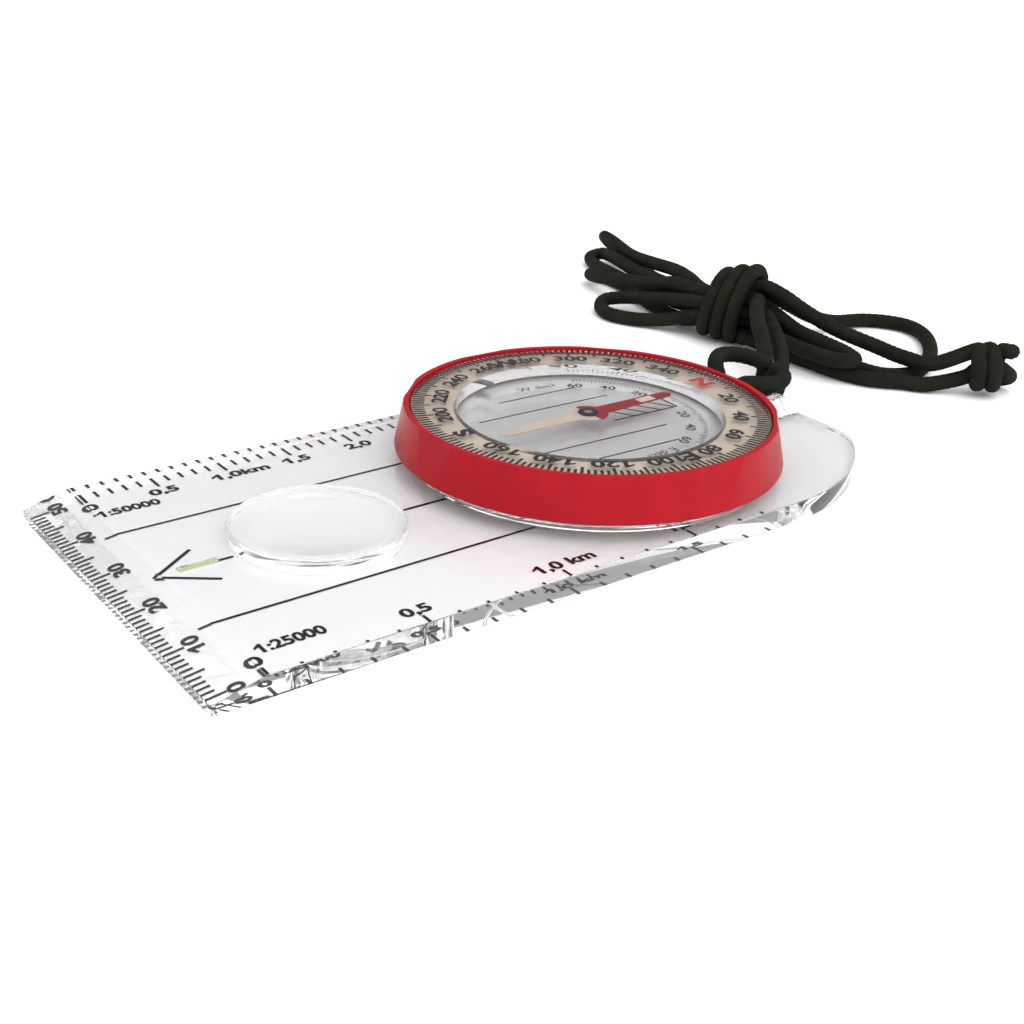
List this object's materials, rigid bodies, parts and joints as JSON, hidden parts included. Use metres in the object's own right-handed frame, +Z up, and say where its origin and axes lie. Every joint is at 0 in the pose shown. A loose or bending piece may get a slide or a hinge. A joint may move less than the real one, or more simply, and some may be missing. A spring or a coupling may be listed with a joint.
{
  "type": "baseplate compass",
  "caption": "Baseplate compass: clear map plate with edge scales and a magnifier, turning red bezel on a liquid capsule, red and cream needle, and a knotted dark green lanyard tied through a hole at the rear",
  "frame": {"origin": "centre of the plate's underside, without the lanyard", "axes": "+Y direction of travel, towards the short edge with the millimetre ruler; +X the long edge with the 1:50000 scale; +Z up out of the dial"},
  "size_m": [0.1248, 0.1674, 0.0145],
  "materials": {
    "clear_acrylic": "polished clear acrylic, slightly grey from the edge",
    "red_plastic": "semi-gloss moulded red plastic",
    "greige_plastic": "matte warm grey moulded plastic",
    "black_plastic": "satin black plastic",
    "needle_paint": "painted steel, red at the north end and cream at the south end",
    "steel": "ground hardened steel",
    "jewel": "polished synthetic ruby",
    "luminous_green": "pale green luminous paint",
    "cord": "round braided polyester cord"
  },
  "bodies": {
    "plate": {"baseplate": "clear_acrylic", "magnifier_lens": "clear_acrylic", "luminous_strip": "luminous_green", "retaining_ring": "clear_acrylic", "lanyard_tether": "cord", "lanyard_wrap": "cord", "lanyard_bight_front": "cord", "lanyard_bight_middle": "cord", "lanyard_bight_rear": "cord", "lanyard_bight_long": "cord", "lanyard_loop": "cord", "lanyard_turn": "cord", "lanyard_run_upper": "cord", "lanyard_run_lower": "cord", "lanyard_end_knot": "cord"},
    "dial": {"bezel_ring": "red_plastic", "capsule_cup": "clear_acrylic", "orienting_disc": "clear_acrylic", "dial_ring": "greige_plastic", "dial_cover": "clear_acrylic", "filling_plug": "black_plastic", "pivot_pin": "steel"},
    "needle": {"needle": "needle_paint", "needle_hub": "black_plastic", "jewel_bearing": "jewel", "bearing_plug": "steel"}
  },
  "joints": [
    {"name": "bezel_turn", "type": "hinge", "parent": "plate", "child": "dial", "pos_m": [0, -0.0162, 0.007], "axis": [0, 0, 1], "continuous": true},
    {"name": "needle_swing", "type": "hinge", "parent": "dial", "child": "needle", "pos_m": [0, -0.0162, 0.0065], "axis": [0, 0, 1], "continuous": true}
  ]
}
